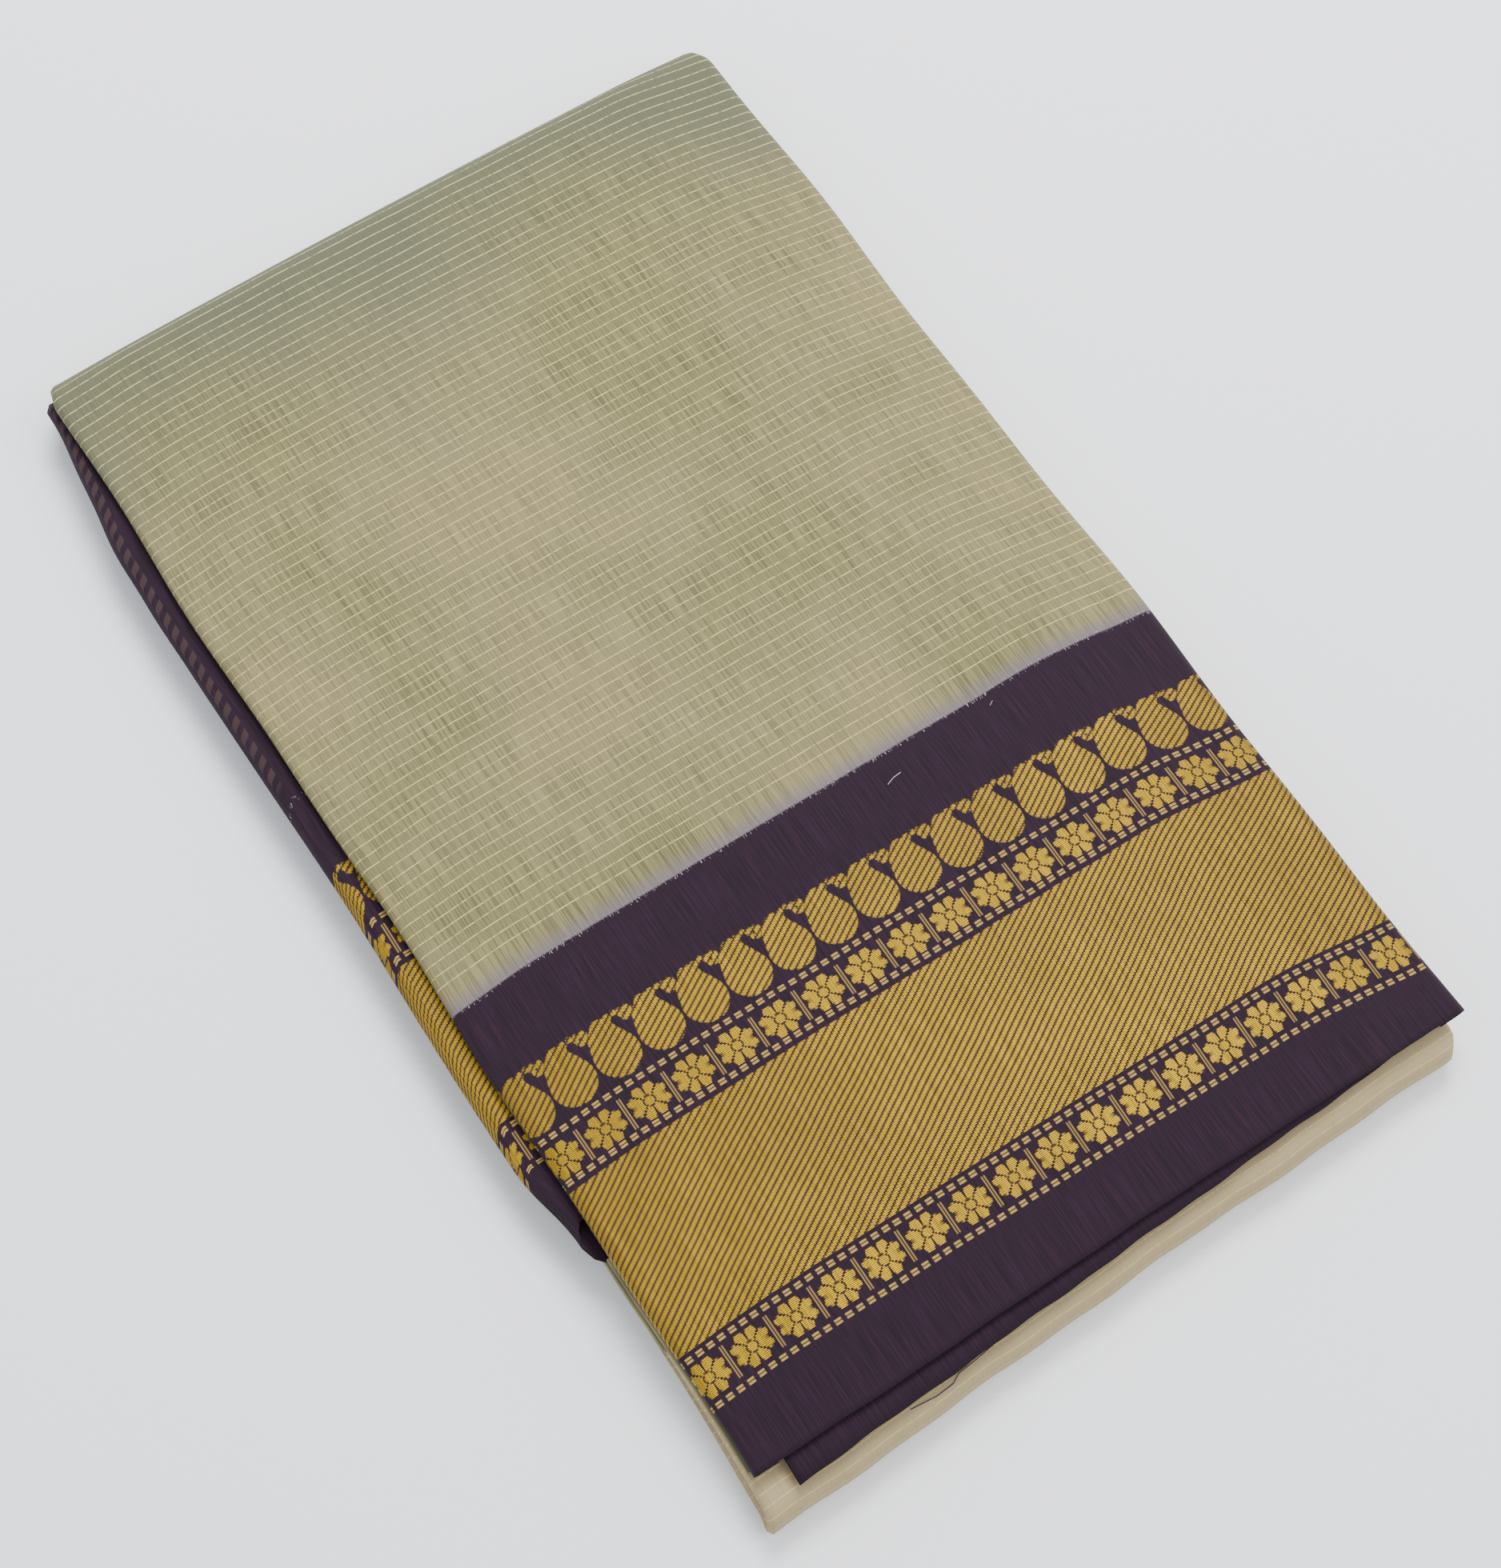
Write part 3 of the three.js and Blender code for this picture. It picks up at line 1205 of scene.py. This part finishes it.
class BorderGroup:
    """Node group that draws the woven border and body: it takes a place in the cloth and gives masks."""

    name = "SareeWeave"

    def __init__(self, chart: BorderChart) -> None:
        """Keeps the chart.

        Args:
            chart: The border's bands.
        """
        self.chart = chart

    def build(self) -> bpy.types.NodeTree:
        """Makes the group.

        Returns:
            The node group, with an output for each name in MASKS.
        """
        chart = self.chart
        tree = bpy.data.node_groups.new(self.name, "ShaderNodeTree")
        tree.interface.new_socket("Place", in_out="INPUT", socket_type="NodeSocketVector")
        for name in MASKS:
            tree.interface.new_socket(name, in_out="OUTPUT", socket_type="NodeSocketFloat")
        source = tree.nodes.new("NodeGroupInput")
        parts = tree.nodes.new("ShaderNodeSeparateXYZ")
        tree.links.new(source.outputs["Place"], parts.inputs[0])
        u = Sum(tree, parts.outputs["X"]) * 1000.0
        v = Sum(tree, parts.outputs["Y"]) * 1000.0
        ragged = self.noise(tree, u, v, (3.2, 0.6), 2.0)
        wobble = self.noise(tree, u, v, (0.05, 0.05), 2.0)
        v = v + (wobble - 0.5) * 0.9
        gold = self.figures(u, v)
        ribs = (v * (2 * math.pi / chart.rib)).op("COSINE") * 0.5 + 0.5
        pale = self.pale_marks(u, v)
        purple = (v + (ragged - 0.5) * chart.ragged).rise(chart.purple_end + 0.35, chart.purple_end - 0.35)
        blend = v.rise(chart.blend_end, chart.blend_end - 7.0) * 0.9
        zari = self.zari(tree, u, v)
        slub = self.noise(tree, u, v, (2.2, 0.06), 3.0)
        tick = v.band(chart.purple_end - 0.9, chart.purple_end + 0.7, 0.3) * ragged.rise(0.62, 0.72)
        relief = gold * ribs + pale * 0.7 + zari * 0.3
        patch = self.noise(tree, u, v, (0.014, 0.011), 3.0)
        # Painted shade: the top cloth grows darker and greener-grey towards the far fold, with a ragged
        # start.
        fold = (v + (patch - 0.5) * 160.0).rise(*chart.far_fold_shade) * v.rise(*chart.far_fold_shade_end)
        # Random warm patches, which are the cloth's own tone, plus painted light that makes the near fold
        # lighter and browner.
        warm_patch_and_light = (patch.rise(0.35, 0.65) * 0.3 + v.rise(*chart.near_fold_light)).op("MINIMUM", 1.0)
        window = (v / chart.window_pitch).op("FRACT").band(0.2, 0.72, 0.08)
        window = window * u.band(*chart.window_sides, 0.2) * v.rise(chart.blend_end - 2, chart.blend_end + 2)
        sink = tree.nodes.new("NodeGroupOutput")
        found = (gold, pale, purple, blend, zari, slub, relief, tick, fold, warm_patch_and_light, window)
        for name, value in zip(MASKS, found):
            tree.links.new(value.socket, sink.inputs[name])
        return tree

    def noise(
        self, tree: bpy.types.NodeTree, u: Sum, v: Sum, scale: tuple[float, float], detail: float
    ) -> Sum:
        """Adds stretched noise over the cloth.

        Args:
            tree: The group's tree.
            u: Place along the border.
            v: Place from the selvedge.
            scale: How often it changes per millimetre, along u and v.
            detail: The noise's detail.

        Returns:
            The noise, round 0.5.
        """
        join = tree.nodes.new("ShaderNodeCombineXYZ")
        tree.links.new((u * scale[0]).socket, join.inputs[0])
        tree.links.new((v * scale[1]).socket, join.inputs[1])
        node = tree.nodes.new("ShaderNodeTexNoise")
        node.inputs["Scale"].default_value = 1.0
        node.inputs["Detail"].default_value = detail
        tree.links.new(join.outputs[0], node.inputs["Vector"])
        return Sum(tree, node.outputs[0])

    def round_mask(self, x: Sum, y: Sum, rounds: tuple[Round, ...]) -> Sum:
        """Joins rounds of thread into one shape.

        Args:
            x: Place across the repeat.
            y: Place up the repeat.
            rounds: The rounds.

        Returns:
            The shape's mask.
        """
        nearest = None
        for round_of_thread in rounds:
            dx, dy = x - round_of_thread.x, y - round_of_thread.y
            away = (dx * dx + dy * dy).op("SQRT") - round_of_thread.radius
            nearest = away if nearest is None else nearest.op("MINIMUM", away)
        return nearest.rise(0.22, -0.22)

    def figures(self, u: Sum, v: Sum) -> Sum:
        """Draws the gold twill band, the flowers and the paisleys.

        Args:
            u: Place along the border.
            v: Place from the selvedge.

        Returns:
            The gold mask, with the binding points of its twill left open.
        """
        chart = self.chart
        row = (v / chart.rib).op("FLOOR") * chart.rib
        bind = ((u - row * chart.twill_lean) / chart.twill_pitch).op("FRACT").band(0.04, 0.37, 0.05)
        twill = v.band(*chart.twill, 0.12) * (bind * 0.92).inverse()
        shape = self.paisley(u, (row + chart.rib / 2) - chart.paisley_foot)
        paisley = shape * (bind * 0.92).inverse()
        total = twill.op("MAXIMUM", paisley)
        for middle in chart.flower_rows:
            total = total.op("MAXIMUM", self.flower(u, v - middle))
        return total

    def paisley(self, u: Sum, y: Sum) -> Sum:
        """Draws the row of paisleys with their curled tips.

        Args:
            u: Place along the border.
            y: Height over the paisley's foot.

        Returns:
            The mask.
        """
        body = self.round_mask(u.wrap(self.chart.repeat, 0.0), y, PAISLEY_BODY)
        hook_x = u.wrap(self.chart.repeat, HOOK_MIDDLE) + HOOK_MIDDLE
        hook = self.round_mask(hook_x, y, PAISLEY_HOOK)
        slit = self.round_mask(hook_x, y, PAISLEY_SLIT)
        return body.op("MAXIMUM", hook) * slit.inverse()

    def flower(self, u: Sum, y: Sum) -> Sum:
        """Draws a row of eight-petalled flowers.

        Args:
            u: Place along the border.
            y: Height over the row's middle.

        Returns:
            The mask.
        """
        row = ((y / PETALS.thread).op("FLOOR") + 0.5) * PETALS.thread
        x = u.wrap(self.chart.repeat, 0.0) / PETALS.width
        away = (x * x + row * row).op("SQRT")
        angle = row.op("ARCTAN2", x)
        lobes = (angle * PETALS.count).op("COSINE") * -1.0
        edge = lobes * PETALS.lobe + PETALS.reach
        petals = (away - edge).rise(0.2, -0.2)
        cleft = lobes.rise(-0.7, -0.97) * away.band(*PETALS.cleft, 0.4)
        ring = away.band(*PETALS.ring, 0.12) * 0.85
        return petals * cleft.inverse() * ring.inverse()

    def pale_marks(self, u: Sum, v: Sum) -> Sum:
        """Draws the rows of paired dashes and the bars between the flowers.

        Args:
            u: Place along the border.
            v: Place from the selvedge.

        Returns:
            The mask.
        """
        chart = self.chart
        dash = (u / chart.dash_pitch).op("FRACT").band(0.18, 0.76, 0.06)
        rows = None
        for middle in chart.dash_rows:
            thread = v.band(middle - 0.8, middle - 0.15, 0.12) + v.band(middle + 0.15, middle + 0.8, 0.12)
            rows = thread if rows is None else rows + thread
        bars = None
        for middle in chart.flower_rows:
            tall = v.band(middle - 4.9, middle + 4.9, 0.2)
            bars = tall if bars is None else bars + tall
        beside = u.wrap(chart.repeat, chart.repeat / 2).op("ABSOLUTE")
        bars = bars * beside.band(0.18, 0.62, 0.12) * 0.62
        return (rows * dash).op("MAXIMUM", bars)

    def zari(self, tree: bpy.types.NodeTree, u: Sum, v: Sum) -> Sum:
        """Draws the fine gold lines across the body.

        Args:
            tree: The group's tree.
            u: Place along the border.
            v: Place from the selvedge.

        Returns:
            The mask.
        """
        line = (v / self.chart.zari_pitch).op("FRACT").band(0.45, 0.55, 0.03)
        broken = self.noise(tree, u, v, (0.9, 0.29), 1.0).rise(0.30, 0.55)
        return line * (broken * 0.75 + 0.25) * v.rise(self.chart.blend_end - 1, self.chart.blend_end + 1)


class Part(Enum):
    """Which part of the cloth a finish is for."""

    BODY = "body"
    PALLU = "pallu"
    INNER = "inner"


@dataclass(frozen=True)
class CottonFinish:
    """Colours and sheen of the woven cotton."""

    name: str
    part: Part
    body: Colour = srgb(128, 122, 80)
    body_shade: Colour = srgb(84, 82, 54)
    # Lighter, browner tone: random patches of the cloth's own, and painted light on the near fold.
    warm_patch_and_light: Colour = srgb(176, 156, 118)
    # Painted shade towards the far fold, darker and greener-grey than the body.
    fold: Colour = srgb(80, 86, 68)
    purple: Colour = srgb(20, 4, 18)
    purple_light: Colour = srgb(40, 15, 36)
    gold: Colour = srgb(204, 164, 8)
    gold_shade: Colour = srgb(58, 42, 6)
    gold_worn: Colour = srgb(112, 84, 20)
    pale: Colour = srgb(170, 140, 70)
    blend: Colour = srgb(98, 90, 96)
    zari: Colour = srgb(186, 172, 112)
    window: Colour = srgb(62, 46, 44)
    tick: Colour = srgb(178, 172, 178)

    def build(self, weave: bpy.types.NodeTree) -> bpy.types.Material:
        """Makes the material.

        Args:
            weave: The group that draws the weave.

        Returns:
            The material.
        """
        material = bpy.data.materials.new(self.name)
        material.use_nodes = True
        tree = material.node_tree
        shader = tree.nodes["Principled BSDF"]
        group = tree.nodes.new("ShaderNodeGroup")
        group.node_tree = weave
        if self.part is Part.INNER:
            coords = tree.nodes.new("ShaderNodeTexCoord")
            tree.links.new(coords.outputs["Object"], group.inputs["Place"])
        else:
            place = tree.nodes.new("ShaderNodeUVMap")
            place.uv_map = "weave"
            tree.links.new(place.outputs["UV"], group.inputs["Place"])
        colour = self.colours(tree, group)
        tree.links.new(colour, shader.inputs["Base Color"])
        gold = Sum(tree, group.outputs["Gold"])
        metal = gold if self.part is not Part.INNER else gold * 0.0
        tree.links.new((metal * 0.6).socket, shader.inputs["Metallic"])
        tree.links.new(((metal * -0.42) + 0.88).socket, shader.inputs["Roughness"])
        shader.inputs["Specular IOR Level"].default_value = 0.25
        shader.inputs["Sheen Weight"].default_value = 0.04
        shader.inputs["Sheen Roughness"].default_value = 0.6
        self.relief(tree, group, shader)
        return material

    def colours(self, tree: bpy.types.NodeTree, group: bpy.types.Node) -> bpy.types.NodeSocket:
        """Mixes the cloth's colours from the masks.

        Args:
            tree: The material's tree.
            group: The weave group's node.

        Returns:
            The colour socket.
        """
        mask = {output.name: Sum(tree, output) for output in group.outputs}
        slub = mask["Slub"]
        body = mix(tree, slub.rise(0.26, 0.68).socket, self.body_shade, self.body)
        # Random warm patches, and painted light on the near fold.
        body = mix(tree, (mask["WarmPatchAndLight"] * 0.7).socket, body, self.warm_patch_and_light)
        # Painted shade towards the far fold.
        body = mix(tree, (mask["FoldShade"] * 0.85).socket, body, self.fold)
        if self.part is Part.INNER:
            return body
        body = mix(tree, mask["Zari"].socket, body, self.zari)
        blend_light = tuple(channel * 1.25 for channel in self.blend)
        blended = mix(tree, slub.rise(0.35, 0.65).socket, self.blend, blend_light)
        body = mix(tree, mask["Blend"].socket, body, blended)
        ground = mix(tree, slub.rise(0.3, 0.75).socket, self.purple, self.purple_light)
        if self.part is Part.PALLU:
            base = mix(tree, (mask["Window"] * 0.7).socket, ground, self.window)
        else:
            base = mix(tree, mask["Purple"].socket, body, ground)
        glint = mask["Relief"] * 0.75 + slub.rise(0.35, 0.65) * 0.25
        gold = mix(tree, glint.socket, self.gold_shade, self.gold)
        gold = mix(tree, (mask["WarmPatchAndLight"] * 1.1).socket, gold, self.gold_worn)
        base = mix(tree, mask["Gold"].socket, base, gold)
        base = mix(tree, (mask["Pale"] * 0.85).socket, base, self.pale)
        return mix(tree, mask["Tick"].socket, base, self.tick)

    def relief(self, tree: bpy.types.NodeTree, group: bpy.types.Node, shader: bpy.types.Node) -> None:
        """Adds the threads' relief.

        Args:
            tree: The material's tree.
            group: The weave group's node.
            shader: The cloth's shader.
        """
        bump = tree.nodes.new("ShaderNodeBump")
        bump.inputs["Strength"].default_value = 0.5
        bump.inputs["Distance"].default_value = 0.0002
        height = Sum(tree, group.outputs["Relief"]) + Sum(tree, group.outputs["Slub"]) * 0.6
        tree.links.new(height.socket, bump.inputs["Height"])
        tree.links.new(bump.outputs[0], shader.inputs["Normal"])


@dataclass(frozen=True)
class Lamp:
    """A soft square light that faces the pack, with its place and side in metres and its power in watts."""

    name: str
    place: tuple[float, float, float]
    power: float
    side: float

    def build(self) -> None:
        """Makes the light."""
        data = bpy.data.lights.new(self.name, "AREA")
        data.energy = self.power
        data.size = self.side
        lamp = bpy.data.objects.new(self.name, data)
        bpy.context.collection.objects.link(lamp)
        lamp.location = self.place
        lamp.rotation_euler = Vector(self.place).to_track_quat("Z", "Y").to_euler()


@dataclass(frozen=True)
class Studio:
    """Floor, light and the camera fitted to the photo."""

    focal: float = 66.12
    film: float = 36.0
    right: tuple[float, float, float] = (0.83246, -0.55362, 0.02261)
    up: tuple[float, float, float] = (0.50254, 0.77158, 0.39002)
    back: tuple[float, float, float] = (-0.23337, -0.31332, 0.92053)
    from_corner: tuple[float, float, float] = (-85.07, -94.86, 763.75)
    sky: tuple[float, float, float, float] = (0.9, 0.92, 1.0, 1.0)
    sky_strength: float = 1.15
    floor_colour: tuple[float, float, float, float] = (0.93, 0.94, 0.95, 1.0)
    floor_half: float = 3.0
    floor_clearance: float = 0.0003
    lamps: tuple[Lamp, ...] = (
        Lamp("key_light", (0.7, 1.0, 1.6), 54, 1.0),
        Lamp("fill_light", (1.2, -0.8, 1.8), 25, 1.6),
    )

    def build(self, corner: Vector) -> None:
        """Makes the stage.

        Args:
            corner: The top cloth's corner at the selvedge and the left, in metres.
        """
        camera = bpy.data.objects.new("camera", bpy.data.cameras.new("camera"))
        bpy.context.collection.objects.link(camera)
        camera.data.lens = self.focal
        camera.data.sensor_fit = "VERTICAL"
        camera.data.sensor_height = self.film
        turned = Matrix((self.right, self.up, self.back)).transposed().to_4x4()
        camera.matrix_world = Matrix.Translation(corner + Vector(self.from_corner) * MM) @ turned
        bpy.context.scene.camera = camera
        self.floor()
        for lamp in self.lamps:
            lamp.build()
        world = bpy.data.worlds.new("studio")
        world.use_nodes = True
        world.node_tree.nodes["Background"].inputs[0].default_value = self.sky
        world.node_tree.nodes["Background"].inputs[1].default_value = self.sky_strength
        bpy.context.scene.world = world

    def floor(self) -> None:
        """Makes the plain pale floor."""
        mesh = bmesh.new()
        bmesh.ops.create_grid(mesh, x_segments=1, y_segments=1, size=self.floor_half)
        floor = add_object("floor", mesh)
        floor.location.z = -self.floor_clearance
        material = bpy.data.materials.new("floor")
        material.use_nodes = True
        shader = material.node_tree.nodes["Principled BSDF"]
        shader.inputs["Base Color"].default_value = self.floor_colour
        shader.inputs["Roughness"].default_value = 0.9
        floor.data.materials.append(material)


def main() -> None:
    """Builds the cloth, its finishes and the stage."""
    logging.basicConfig(level=logging.INFO)
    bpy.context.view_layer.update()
    offset = Vector(PACK.row_shift)
    weave = BorderGroup(CHART).build()
    body = CottonFinish("saree_body", Part.BODY).build(weave)
    pallu = CottonFinish("saree_pallu", Part.PALLU).build(weave)
    inner = CottonFinish("saree_inner", Part.INNER).build(weave)
    for kind, material in ((TopCloth, body), (SecondCloth, body), (PalluCloth, pallu), (UnderCloth, body)):
        kind(PACK, offset).build(material)
    for thread in LOOSE_THREADS:
        thread.build(offset)
    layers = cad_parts["inner_layers"]
    layers.data.materials.clear()
    layers.data.materials.append(inner)
    corner = (offset + Vector((-PACK.half_width, -PACK.half_length, PACK.height - PACK.thinning))) * MM
    Studio().build(corner)


if __name__ == "__main__":
    main()
